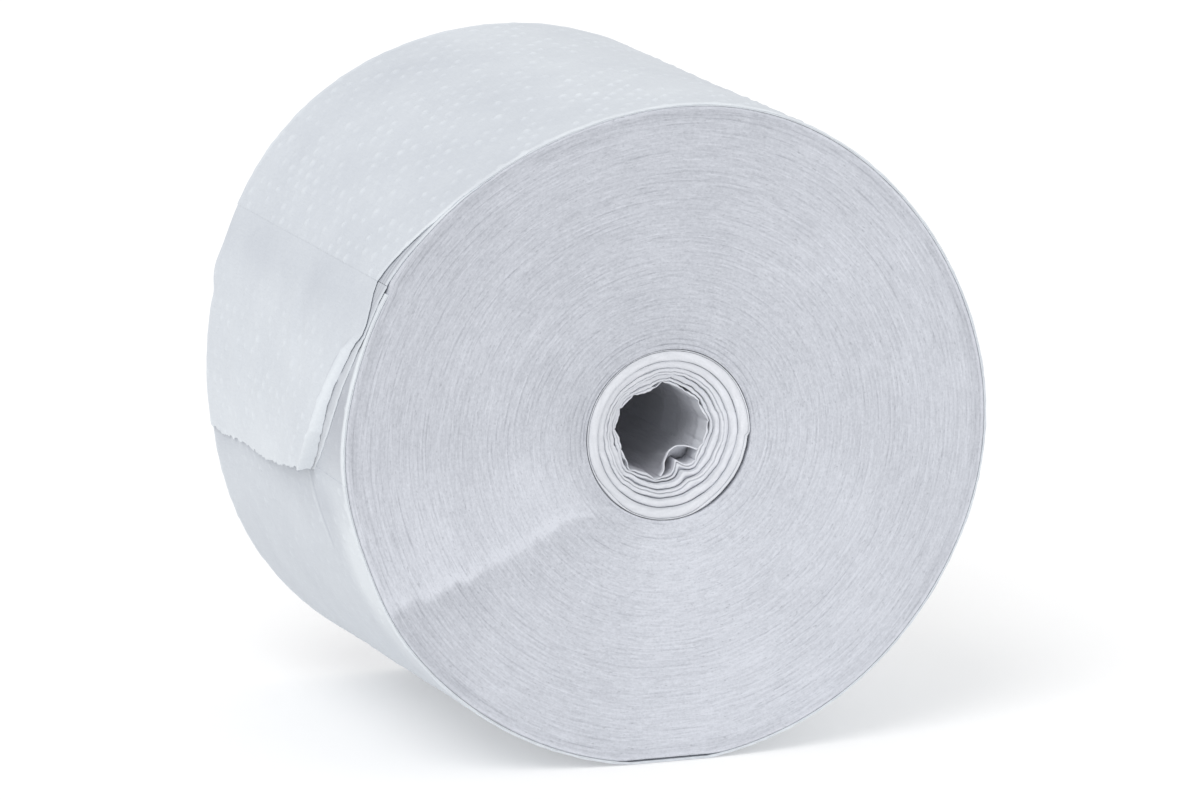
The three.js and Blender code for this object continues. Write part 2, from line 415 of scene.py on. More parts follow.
def under_ply():
    """The inner ply's front margin, laid bare where the outer ply has drawn back."""
    degs = np.linspace(124.0, TAIL_ROOT - 0.05, 76)
    backs = np.concatenate([[-0.12, -0.05, 0.15], np.arange(0.5, 12.1, 0.4), [13.5, 16.0]])
    deg, back = np.meshgrid(degs, backs, indexing="ij")
    y = FRONT + back + 0.10 * noise(deg * 1.3, 0, 16) * (back < 1) + 2.1 * smooth(138, 150, deg)
    base = ROLL_R - 0.42 + out_of_round(ROLL_R, deg, y)
    start = smooth(126.5, 131, deg)
    r_top = base - 0.62 + 0.05 + 0.16 * start + 0.22 * start * bell(back, 0.5, 1.3) * (0.7 + 0.3 * noise(deg / 2.0, 0, 17))
    ripples = np.sin(back * 3.6 + 0.9 * noise(deg / 5.0, 0, 18)) * smooth(0.8, 2.0, back)
    r_top = r_top + 0.06 * start * ripples
    r_low = base - 0.64 + 0.03 * start
    top = at(r_top - 0.1 * (back < 0), deg, y)
    low = at(r_low, deg, y)
    section = np.concatenate([top, low[:, ::-1]], axis=1)
    n, k = section.shape[:2]
    points = section.reshape(-1, 3)
    quads = quads_of(n, k, close_m=True)
    faces = [list(range(k)), list(range((n - 1) * k, n * k))[::-1]]
    # painted shade further under the outer ply and along the ripples, and a painted highlight on the bared front edge
    tone = -0.42 - 0.25 * ripples - 0.3 * smooth(3, 8, back) + (0.75 - 0.45 * smooth(134, 142, deg)) * (1 - smooth(0.3, 1.6, back))
    tone = np.concatenate([tone, tone * 0], axis=1)
    # grey: painted shade in the gap the outer ply has left, varied along the ripples
    grey = (0.36 + 0.14 * ripples) * smooth(0.4, 1.8, back) * smooth(130, 140, deg)
    grey = np.concatenate([grey, grey * 0], axis=1)
    return points, quads, [f[::-1] for f in faces], tone, grey


# ---- the wound end faces ---------------------------------------------------------------
CREASE_R = [24, 26, 38, 58, 90, 96]
CREASE_DEG = [228.5, 227, 215.5, 213, 208, 207.3]


def turns_at(r):
    """How many visible lines lie inside radius r. Their spacing drifts."""
    return r / 1.27 + 0.55 * noise(r / 5.3, 0, 21) + 0.22 * noise(r / 1.9, 0, 22)


def winding(r, deg, seed):
    """Fine spiral lines of the wound layers, 0 to 1, that come and go along their length."""
    d = np.asarray(deg, float) % 360
    s = turns_at(r) - d / 360
    n = np.floor(s)
    t = s - n
    run = (n * 360 + d) / 360
    long = 0.5 + 0.5 * noise(run * 5.1, 0, seed)
    long = long * (0.35 + 0.5 * bell(wrap(d - 172), 0, 34) + 0.8 * (1 - smooth(26, 34, r))) * (1 - 0.6 * bell(wrap(d - 248), 0, 60))
    show = np.clip(-0.10 + 0.75 * long + 1.15 * noise(run * (0.42 * r + 12), 0, seed + 1), 0, 1)
    main = show * bell(t, 0.5, 0.15)
    s2 = 2.6 * turns_at(r) - d / 360
    n2 = np.floor(s2)
    run2 = (n2 * 360 + d) / 360
    show2 = np.clip(-0.1 + 1.2 * noise(run2 * 38.0, 0, seed + 2), 0, 1)
    light = np.clip(-0.15 + 1.2 * noise(run * (0.42 * r + 12) + 0.4, 0, seed + 3), 0, 1) * bell(t, 0.86, 0.10)
    return main + 0.5 * show2 * bell(s2 - n2, 0.5, 0.2), light


def end_face(r, deg, seed, crease=True):
    """How far the end face lies back at a point, and its tone."""
    lines, light = winding(r, deg, seed)
    near = 1 + 0.8 * (1 - smooth(25, 33, r)) + 0.25 * smooth(80, 93, r)
    back = 0.11 * lines * near - 0.10 * light
    back = back + 0.10 * noise(r / 2.6, 0, seed + 5) + 0.06 * round_noise(deg, 3.1, seed + 6) * (r / 95)
    rough = round_noise(deg, 26, seed + 7, r * 1.9) * 0.05 + round_noise(deg, 60, seed + 8, r * 2.7) * 0.03
    back = back + rough
    back = back + 0.55 * (1 - smooth(24.4, 30, r)) + 0.08 * smooth(91.8, 94.5, r) ** 2
    # painted shade in the dark lines between the wound layers
    tone = -0.32 * lines * near + 0.34 * light
    # painted shade just inside the rim and a painted highlight on the rim
    tone = tone - 0.24 * smooth(89.0, 91.5, r) * (0.6 + 0.4 * round_noise(deg, 5.0, seed + 9)) + 0.30 * smooth(92.6, 93.4, r)
    # painted light: lighter towards the bottom and the right, where the floor throws light back
    for where, wide, much in ((275, 46, 0.27), (325, 40, 0.14), (38, 30, 0.14), (5, 30, 0.04)):
        tone = tone + much * bell(wrap(deg - where), 0, wide)
    if crease:
        c = np.interp(r, CREASE_R, CREASE_DEG)
        off = wrap(deg - c) * DEG * r + 0.6 * noise(r / 2.2, 0, 40) + 0.35 * noise(r / 0.8, 0, 41)
        fade = smooth(27, 34, r) * (0.75 + 0.25 * noise(r / 7, 0, 43))
        ridge = np.where(off < 0, smooth(-26, 0, off) ** 2, 1 - smooth(0, 5.5, off))
        back = back - 0.5 * ridge * fade
        # painted light across the crease: a lighter wedge above it, a painted highlight on its ridge, painted shade
        # below it
        wedge = smooth(-62 * r / 90, -28 * r / 90, off) * (1 - smooth(-0.6, 0.8, off))
        shade = smooth(-0.4, 1.0, off) * (1 - smooth(5, 24 * r / 90 + 6, off))
        tone = tone + fade * (0.34 * wedge + 0.30 * bell(off, -1.2, 2.2) - (0.02 + 0.24 * smooth(48, 84, r)) * shade)
    return back, tone


def wound_body():
    """The main winding: two end faces, the outside under the outer turn and the mandrel's bore."""
    n = 220
    degs = np.arange(n) * 360.0 / n
    rs = np.linspace(MANDREL_R + 0.15, 93.45, 292)
    rs_back = np.linspace(MANDREL_R + 0.15, 93.45, 96)
    rows = []
    tones = []
    deg = degs[:, None]

    def radius(r, y):
        squeeze = depth(deg) * smooth(70, 93.5, r)
        # the flattening dies out towards the bore
        return flattened(r - squeeze + out_of_round(r, deg, y), deg, 95 - r - SAG * (1 - smooth(45, 92, r)))

    # front face from the bore to the rim
    r = rs[None, :] + 0 * deg
    back, tone = end_face(r, deg, 100)
    rows.append(at(radius(r, FRONT), deg, FRONT + back))
    tones.append(tone)
    # rim, outside, rim
    last = (FRONT + back[:, -1:])
    for dr, dy in ((0.30, 0.02), (0.42, 0.16)):
        rows.append(at(radius(93.45 + dr + 0 * deg, FRONT), deg, last + dy))
        tones.append(np.full((n, 1), 0.1))
    for y in np.linspace(FRONT + 6, BACK - 6, 8):
        rows.append(at(radius(93.87 + 0 * deg, y), deg, y))
        tones.append(np.full((n, 1), -0.2))
    r = rs_back[::-1][None, :] + 0 * deg
    back, tone = end_face(r, deg, 300, crease=False)
    for dr, dy in ((0.42, 0.16), (0.30, 0.02)):
        rows.append(at(radius(93.45 + dr + 0 * deg, BACK), deg, BACK - back[:, :1] - dy))
        tones.append(np.full((n, 1), -0.3))
    rows.append(at(radius(r, BACK), deg, BACK - back))
    tones.append(tone)
    # bore, its wall darkened by painted shade
    for y in np.linspace(BACK - 1.2, FRONT + 1.2, 12):
        rows.append(at(MANDREL_R + 0.05 + 0 * deg, deg, y + 0 * deg))
        tones.append(np.full((n, 1), -0.6))
    points = np.concatenate(rows, axis=1)
    tone = np.concatenate(tones, axis=1)
    m = points.shape[1]
    return mesh("wound_body_winding", points, quads_of(n, m, True, True), (), {"tone": tone})


# ---- the tail ------------------------------------------------------------------------


def tail_end(y, ply):
    """Angle of the torn end across the web."""
    d = np.interp(y - FRONT, [0, 31, 42, 54, 75, 99, 123, 135], [184.0, 185.0, 186.0, 187.2, 189.0, 189.4, 190.4, 190.6])
    nibs = 0.34 * np.abs(np.sin(math.pi * y / 5.2)) ** 0.6
    rag = 0.30 * noise(y / 1.7, 0, 51 + ply) + 0.24 * noise(y / 0.7, 0, 53 + ply) + 0.35 * noise(y / 8.0, 0, 55 + ply)
    return d + (nibs + rag - 0.2) / ARC - 0.25 * ply


def tail_surface(u, v, ply):
    """Middle radius, angle, y of the tail. u runs down the tail, v from its front edge to its back."""
    edge = EDGE_IN if ply == 0 else UNDER_IN
    # first guess at the front edge, then the torn end for that place
    y0 = FRONT + np.interp(TAIL_ROOT + 36 * u, EDGE_DEG, edge)
    y = y0 + (BACK - 0.3 - y0) * v
    end = tail_end(y, ply)
    deg = (TAIL_ROOT + 0.01) + (end - TAIL_ROOT - 0.01) * u
    y0 = FRONT + np.interp(deg, EDGE_DEG, edge) + 0.16 * noise(deg * ARC / 1.3, 0, 61 + ply) + 0.3 * noise(deg * ARC / 6.0, 0, 63 + ply) * smooth(0.1, 0.3, u)
    y = y0 + (BACK - 0.3 - y0) * v
    t = (deg - TAIL_ROOT) / 39.0
    from_edge = y - y0
    lift = 3.0 * smooth(0.15, 0.95, t) * (1 - smooth(0, 0.62, (y - FRONT) / ROLL_W))
    lift = lift + 0.30 * np.sin(math.pi * np.clip(t, 0, 1)) * smooth(0.0, 0.3, v)
    lift = lift + 0.75 * smooth(0.86, 1.0, t) * (1 - smooth(0.2, 0.7, v)) - 0.30 * smooth(0.80, 1.0, t) * smooth(0.45, 0.9, v)
    # the front margin is bent down towards the roll
    bent = smooth(0.20, 0.36, t)
    e0 = y - (FRONT + np.interp(deg, EDGE_DEG, EDGE_IN))
    e1 = y - (FRONT + np.interp(deg, EDGE_DEG, UNDER_IN))
    lift = lift + bent * 1.5 * bell(e0, 3.6 - 1.5 * smooth(0.6, 1.0, t), 2.3 - 0.7 * smooth(0.6, 1.0, t)) * (1 - smooth(0.75, 1.0, t) * 0.3)
    # hollow behind the bent margin, and soft folds down the tail
    lift = lift - 0.55 * bent * bell(e0, 10.0, 4.5) - 0.18 * bent * bell(e0, 4.6, 0.7)
    lift = lift + 0.42 * along(deg, y, (156.5, 66), (174, 46), 3.2) - 0.30 * along(deg, y, (156, 60), (172, 39), 3.4)
    lift = lift + 0.40 * along(deg, y, (152.5, 44), (162, 34), 2.6)
    lift = lift + 0.30 * along(deg, y, (170, 88), (188, 70), 4.0) + 0.28 * along(deg, y, (166, 112), (186, 100), 4.5)
    # a small crease at the back edge
    lift = lift + 0.75 * bell(deg, 161.5, 3.2) * smooth(118, 134, y - FRONT) - 0.4 * bell(deg, 166.0, 1.6) * smooth(120, 134, y - FRONT)
    base = (94.40 if ply == 0 else 94.02) + out_of_round(ROLL_R, deg, y)
    # at its root the margin is still loose, as it is on the sheet above
    if ply == 0:
        lift = lift + MARGIN_LIFT * (1 - smooth(0, 9, from_edge)) * (1 - smooth(0.05, 0.24, t))
        lift = lift + 0.30 * smooth(0.02, 0.3, t)
    # the inner ply's margin drops on to the web below, and the outer one comes down on it
    dropped = np.where(lift > -0.05, lift * (1 - bent * (1 - smooth(0.2, 5.5, e1) ** 1.5)), lift)
    if ply == 1:
        lift = dropped - 0.22 * bent * (1 - smooth(0, 1.6, e1))
    else:
        low = dropped + 0.7 * smooth(0.80, 1.0, t)
        lift = lift + bent * (low + (lift - low) * smooth(-0.4, 3.0 - 1.2 * smooth(0.6, 1.0, t), e0) - 0.13 * (1 - smooth(0, 1.5, e0)) - lift)
    return base + np.maximum(lift, -0.30), deg, y, t, from_edge


def tail_ply(name, ply):
    nu, nv = 128, 236
    u = np.linspace(0, 1, nu)[:, None] + np.zeros((1, nv))
    v = np.linspace(0, 1, nv)
    v = (v + 0.18 * v * (v - 1) * (1 - v) * 1.0)[None, :] + np.zeros((nu, 1))
    r, deg, y, t, from_edge = tail_surface(u, v, ply)
    arc = deg * ARC
    patch = 0.12 + 0.40 * smooth(0.16, 0.42, t)                 # pressed smooth just below the crease
    patch = patch * (1 - 0.5 * bell(t, 0.95, 0.12)) * smooth(0, 3.5, from_edge)
    bump = EMBOSS * 1.0 * patch * dots(arc, y) + cockle(arc, y) * (0.6 + 0.4 * (1 - smooth(0.0, 0.2, t)))
    r = r + bump
    thick = 0.36 if ply == 0 else 0.34
    edge_mm = np.minimum(np.minimum(from_edge, BACK - 0.3 - y), (1 - u) * 62)
    thin = 0.35 + 0.65 * smooth(0, 0.5, edge_mm)
    top = at(r + thick / 2 * thin, deg, y)
    low = at(r - thick / 2 * thin, deg, y)
    n, m = nu, nv
    points = np.concatenate([top.reshape(-1, 3), low.reshape(-1, 3)])
    q = quads_of(n, m)
    k = n * m
    ring = np.concatenate([
        np.arange(0, m - 1), np.arange(m - 1, k - 1, m), np.arange(k - 1, k - m, -1), np.arange(k - m, 0, -m)
    ])
    nxt = np.roll(ring, -1)
    sides = np.stack([nxt, ring, ring + k, nxt + k], -1)
    quads = np.concatenate([q, q[:, ::-1] + k, sides])
    # painted shade below the crease near the root with a painted shadow line, lighter towards the torn end, and painted
    # light on the bent lip
    tone = -0.22 * (1 - smooth(0.12, 0.5, t)) - 0.10 * bell(t, 0.12, 0.10) + 0.14 * smooth(0.6, 0.95, t) + lip_highlight_and_shade(t, from_edge)
    # painted highlight along the ply's edges
    tone = tone + 0.16 * np.exp(-(edge_mm / 0.8) ** 2)
    # the underside made darker: painted shade
    layer = np.concatenate([tone.ravel(), tone.ravel() - 0.2])
    if ply == 1:
        # painted shade where it is laid bare at the top, varied along its creases, and painted shade of the outer ply
        # further down
        creases = np.sin((y - FRONT) * 3.6 + 0.9 * noise(deg / 5.0, 0, 18))
        grey = (0.34 + 0.14 * creases * (1 - smooth(0.1, 0.25, t))) * bell(t, 0.06, 0.14) * smooth(0.4, 1.6, from_edge)
        grey = grey + 0.42 * smooth(0.22, 0.36, t) * smooth(0.0, 1.2, from_edge) * (1 - smooth(0.85, 1.0, t))
    else:
        grey = 0 * t
    area = sheet_area(u, v, ply)
    # the dot layer carries the raised dots' painted highlight
    return points, quads, {"grey": np.concatenate([grey.ravel(), grey.ravel()]), "tone": layer, "dot": np.concatenate([(patch * dots(arc, y)).ravel(), np.zeros(k)])}, area


# painted highlight on the bent-down lip and a painted shade line at its fold
def lip_highlight_and_shade(t, from_edge):
    return smooth(0.22, 0.36, t) * (0.42 * bell(from_edge, 1.6, 1.2) - 0.75 * bell(from_edge, 3.9, 0.6))


def sheet_area(u, v, ply):
    """Flat area of the ply, from its outline on the web."""
    r, deg, y, t, e = tail_surface(u, v, ply)
    x = deg * ARC
    a = np.stack([x, y], -1)
    d1, d2 = a[1:, 1:] - a[:-1, :-1], a[1:, :-1] - a[:-1, 1:]
    return float(np.abs(d1[..., 0] * d2[..., 1] - d1[..., 1] * d2[..., 0]).sum() / 2) * 1e-6


# ---- the loose turns round the bore -----------------------------------------------------
CUSPS = [174.0, 127.0, 89.0, 62.0, 35.0, 8.0, 341.0, 318.0, 262.0, 229.0, 200.0, 150.0]
SPLITS = [[0, 0.68, 1], [0, 1], [0, 0.5, 1], [0, 1], [0, 0.5, 1]]   # where each turn parts into plies
PLIES = [len(split) - 1 for split in SPLITS]
FINE = [0.06, 0.22, 0.32, 0.36, 0.34]
PLEATS = [0.08, 0.40, 1.0, 1.8, 3.3]
# over which depth each turn's pleat dies out. Further out it does so sooner, so that the turns can slide
FADES = [(0.5, 2), (0.5, 3), (0.5, 6), (3, 18), (3, 30)]
# small openings between the two innermost plies: angle, half width
OPENINGS = [(97, 4), (60, 7), (33, 5), (5, 6), (218, 6)]


def lobes(deg):
    """Paper that has bulged between its hard creases: 0 at a crease, down to -1 between two."""
    d = np.asarray(deg, float) % 360
    marks = np.sort(np.array(CUSPS) % 360)
    marks = np.concatenate([[marks[-1] - 360], marks, [marks[0] + 360]])
    k = np.clip(np.searchsorted(marks, d, side="right") - 1, 0, len(marks) - 2)
    t = (d - marks[k]) / (marks[k + 1] - marks[k])
    wide = (marks[k + 1] - marks[k]) / 30.0
    return -np.sqrt(np.clip(np.sin(math.pi * t), 0, 1)) * np.clip(wide, 0.5, 1.25)


def skin(index, ply, side, deg, y):
    """Radius of one ply of a loose turn, at its inner (-1), middle (0) or outer (1) side."""
    name, body, mid, thick, wave, inset = BORE_TURNS[index]
    count = PLIES[index]
    back = np.maximum(np.asarray(y, float) - (FRONT + inset), 0)
    shallow = 1 - smooth(2, 22, back)
    a = np.asarray(deg, float) * DEG
    ripple = 0.5 * np.sin(5 * a + 0.7) + 0.3 * np.sin(8 * a + 2.1) + 0.2 * np.sin(3 * a)
    r = mid + wave * ripple * (0.3 + 0.7 * shallow)
    lean = 8.0 - 0.4 * index
    v = wrap(np.asarray(deg, float) - (PLEAT_AT + lean) - 4.0 * noise(0.0, 0, 60))
    r = r - PLEATS[index] * np.exp(-np.abs(v / (9.0 - index * 0.3)) ** 1.6) * (0.08 + 0.92 * (1 - smooth(*FADES[index], back)))
    fine = 0.6 * round_noise(deg, 6.0, 70, back / 120.0) + 0.4 * round_noise(deg, 14.0, 75, back / 90.0)
    r = r + FINE[index] * fine * (0.3 + 0.7 * shallow)
    if index == 4:
        inward = 1.0 if ply == 0 else 0.22
        r = r + (0.95 * inward) * (lobes(deg) + 0.35) * (0.10 + 0.90 * shallow)
        wrinkle = noise(back / 2.3 + 1.3 * round_noise(deg, 2.0, 64), 0.8 * round_noise(deg, 1.2, 67), 65)
        if ply == 0:
            wrinkle = 0.42 * wrinkle + 0.3 * noise(back / 7.0, 2.2 * round_noise(deg, 1.0, 68), 69)
            r = r - np.clip(wrinkle + 0.2, 0, 0.9) * smooth(1.5, 7, back)
            r = r - 0.40 * opened(deg) * shallow
    if index == 3:
        r = r + 0.30 * (lobes(np.asarray(deg, float) + 9) + 0.35) * shallow
    if index == 2:
        r = r + 0.18 * (lobes(np.asarray(deg, float) - 7) + 0.35) * shallow
    low, high = SPLITS[index][ply], SPLITS[index][ply + 1]
    d = np.asarray(deg, float) % 360
    if index == 0:
        # the outer ply is thick where it is bunched, and pulled thin elsewhere
        bunched = np.maximum(smooth(280, 305, d) * (1 - smooth(355, 358, d)), 0.7 * bell(d, 222, 12))
        part = 0.93 - 0.25 * bunched
        low, high = (0.0, part) if ply == 0 else (part, 1.0)
    place = low + high - 1
    r = r + place * thick / 2
    if index == 0:
        # it stands off the winding at the lower right, up to where its outer ply ends
        r = r - [0.24, 0.34][ply] * smooth(285, 318, d) * (1 - smooth(355.0, 357.6, d)) * (1 - 0.6 * smooth(4, 30, back))
        r = r - [0.06, 0.16][ply] * bell(d, 222, 14) * shallow
    # a little play between the plies of one turn, most of it below
    below = 0.35 + 0.65 * bell(wrap(d - 275), 0, 70)
    if ply < count - 1:
        r = r - 0.10 * below * np.clip(round_noise(deg, 3.0, 66 + 3 * index + ply), 0, 1) * shallow
    half = (high - low) / 2 * thick - 0.045
    if side > 0 and ply == count - 1 and index == 0:
        half = half + 0.29 * closed(d)
    if side > 0 and ply == count - 1 and index > 0:
        # the turn fills most of the room up to the next one, unevenly
        half = half + [0, 0.24, 0.26, 0.28, 0.10][index] * (0.62 + 0.38 * round_noise(deg, 4.0, 90 + index)) * (1 - 0.85 * smooth(2.5, 7, back))
    return r + side * half


def opened(deg):
    """Where the two innermost plies have come apart."""
    return np.clip(sum(bell(wrap(np.asarray(deg, float) - a), 0, w) for a, w in OPENINGS), 0, 1)


def closed(deg):
    """Where the outermost loose turn still lies tight against the winding."""
    d = np.asarray(deg, float) % 360
    apart = smooth(278, 305, d) * (1 - smooth(354, 359, d))
    return np.maximum(bell(wrap(d - 178), 0, 56), 0.70 * (1 - apart))


def tight(k, deg):
    """How closely ply k lies against the next one out, 0 to 1. The gap shows less there."""
    base = 0.55 + 0.30 * bell(wrap(deg - 140), 0, 70) + 0.42 * bell(wrap(deg + 5), 0, 58) - 0.05 * bell(wrap(deg - 280), 0, 45)
    base = base + 0.42 * round_noise(deg, 3.0, 210 + k)
    return np.clip(base - (opened(deg) if k == 0 else 0), 0, 1)


SHELLS = [(i, p) for i in (4, 3, 2, 1, 0) for p in range(PLIES[i])]


def painted_shade(d, deg):
    """Painted shade: greyer inside the bore, and most along its bottom."""
    return 0.155 * smooth(0.4, 7, d) + 0.78 * smooth(0.2, 2.2, d) * bell(wrap(deg - 250), 0, 46)


def shell(k):
    """One ply of a loose turn as a closed tube. Behind its edge it fills out to the next one."""
    index, ply = SHELLS[k]
    name, body, mid, thick, wave, inset = BORE_TURNS[index]
    count = PLIES[index]
    n = 300
    deg = (np.arange(n) * 360.0 / n)[:, None]
    tp = (SPLITS[index][ply + 1] - SPLITS[index][ply]) * thick
    edge = FRONT + inset + 0.15 + [0.10, 0.45, 0.5, 0.35, 0.35][index] * (count - 1 - ply)
    edge = edge + [0.22, 0.36, 0.42, 0.42, 0.46][index] * (
        0.6 * round_noise(deg, 3.5, 80 + k) + 0.4 * round_noise(deg, 12.0, 100 + k)
    )
    y_back = BACK - 0.45 - 0.3 * (count - 1 - ply)

    def outer(y):
        own = skin(index, ply, 1, deg, y)
        if k + 1 < len(SHELLS):
            i2, p2 = SHELLS[k + 1]
            nxt = skin(i2, p2, -1, deg, y) - 0.035
        else:
            nxt = MANDREL_R - 0.02 + 0 * deg
        below = 0.30 + 0.70 * bell(wrap(deg - 280), 0, 75)
        reach = 0.02 + 1.0 * below * below * np.clip(0.25 + round_noise(deg, 3.2, 120 + k), 0, 1)
        if index == 4:
            reach = reach + 3.5 * np.clip(round_noise(deg, 2.4, 131), 0, 1)
            if ply == 0:
                reach = reach + 3.0 * opened(deg)
        if index == 0:
            reach = 0.04 + 0.5 * below * np.clip(round_noise(deg, 2.6, 120 + k), 0, 1)
            if ply == count - 1:
                d = deg % 360
                reach = reach + 0.08 + 2.6 * smooth(290, 325, d) * (1 - smooth(354, 357, d))
            else:
                reach = reach * (1 - 0.7 * tight(k, deg))
        else:
            reach = reach * (1 - 0.7 * tight(k, deg))
        fill = smooth(reach * 0.5, reach + 0.4, y - edge)
        if ply == count - 1 and index > 0:
            # further in it stays clear of the next turn, which it slides on
            fill = fill * (1 - smooth(3.5, 7.0, y - edge))
        return np.minimum(own + (np.maximum(nxt, own) - own) * fill, np.maximum(nxt, own - 0.25))

    depths = np.array([1.0, 1.6, 2.6, 4, 6, 9, 13, 18, 25, 34, 45, 58, 72, 88, 104, 118, 127])
    if k == 0:
        depths = np.concatenate([[0.9, 1.5, 2.2, 3.0], np.arange(4.0, 52.0, 0.9), [54, 58, 64, 72, 80, 88, 96, 104, 112, 119, 127]])
    # high up the edges slope into each other like a funnel, lower down they stand in steps
    high_up = bell(wrap(deg - 118), 0, 88)
    lean = [1.0, 1.4, 1.6, 1.5, 0.3][index] / count * (0.20 + 0.66 * high_up)
    rows, tones, deep = [], [], {}
    for a in np.linspace(math.pi / 2, -math.pi / 2, 9):
        s = math.sin(a)
        drop = (1 - math.cos(a)) * min(0.5, 0.5 * tp) * (1 - 0.45 * high_up)
        if k == len(SHELLS) - 1:
            drop = drop * (1 - 0.8 * closed(deg)) if s > 0 else drop
        elif s > 0:
            drop = drop * (1 - 0.8 * tight(k, deg))
        if s < 0 and k > 0:
            drop = drop * (1 - 0.8 * tight(k - 1, deg))
        rough = 0.5 * round_noise(deg, 22.0, 160 + k, 1.7 * s) + 0.5 * round_noise(deg, 9.0, 180 + k, 1.3 * s)
        y = edge + drop + lean * (1 - s) / 2 + 0.24 * min(1.0, tp / 1.5) * rough * math.cos(a) + 0 * deg
        inside, outside = skin(index, ply, -1, deg, y), skin(index, ply, 1, deg, y)
        if s > 0 and k + 1 < len(SHELLS):
            nxt = skin(*SHELLS[k + 1], -1, deg, y) - 0.03
            outside = outside + np.maximum(nxt - outside, 0) * 0.8 * tight(k, deg)
        rows.append(at((outside + inside) / 2 + s * (outside - inside) / 2 * 0.97, deg, y))
        # painted highlight along each nose's crest, painted shade down its sides into the grooves; lighter towards the
        # right and darker towards the bottom
        tones.append(0.12 * bell(wrap(deg + 2), 0, 42) - 0.16 * bell(wrap(deg - 262), 0, 42) + 0.20 * math.cos(a) - 0.08 + 0.22 * round_noise(deg, 8.0, 140 + k, 2.0 * s) - 0.12 * smooth(0.3, 1, -s) - 0.26 * smooth(0.45, 1, abs(s)))
    for d in depths:
        y = edge + d + lean
        y = np.minimum(y, y_back - 2)
        rows.append(at(skin(index, ply, -1, deg, y), deg, y))
        tones.append(0 * deg - 0.05)
        if k == 0:
            # painted shade inside the bore, on the innermost ply
            deep[len(rows) - 1] = painted_shade(d, deg)
    for a in np.linspace(-math.pi / 2, math.pi / 2, 5):
        s = math.sin(a)
        y = y_back - (1 - math.cos(a)) * 0.5 * tp + 0 * deg
        inside, outside = skin(index, ply, -1, deg, y), skin(index, ply, 1, deg, y)
        rows.append(at((outside + inside) / 2 + s * (outside - inside) / 2 * 0.97, deg, y))
        tones.append(0 * deg)
    for d in depths[::-1]:
        y = edge + d
        y = np.minimum(y, y_back - 2)
        rows.append(at(outer(y), deg, y))
        # painted shade on the outer face, between this turn and the next
        tones.append(0 * deg - 0.3)
    points = np.concatenate(rows, axis=1)
    tone = np.concatenate([t + 0 * deg for t in tones], axis=1)
    m = points.shape[1]
    grey = np.concatenate([deep.get(i, 0) + 0 * deg for i in range(m)], axis=1)
    return points.reshape(-1, 3), quads_of(n, m, True, True), tone.ravel(), grey.ravel()


def core_turn(index):
    name, body = BORE_TURNS[index][:2]
    parts = Parts()
    for k, (i, p) in enumerate(SHELLS):
        if i == index:
            points, quads, tone, grey = shell(k)
            parts.add(points, quads, (), tone=tone, grey=grey)
    ob = parts.build(name + "_loose_turn")
    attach(ob, body)
    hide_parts(name)
    return ob


def through(points, count):
    """A smooth open line through points."""
    p = np.asarray(points, float)
    p = np.concatenate([[2 * p[0] - p[1]], p, [2 * p[-1] - p[-2]]])
    out = []
    spans = len(p) - 3
    for t in np.linspace(0, spans, count):
        i = min(int(t), spans - 1)
        f = t - i
        a, b, c, d = p[i : i + 4]
        out.append(0.5 * (2 * b + (c - a) * f + (2 * a - 5 * b + 4 * c - d) * f * f + (3 * b - a - 3 * c + d) * f ** 3))
    return np.array(out)


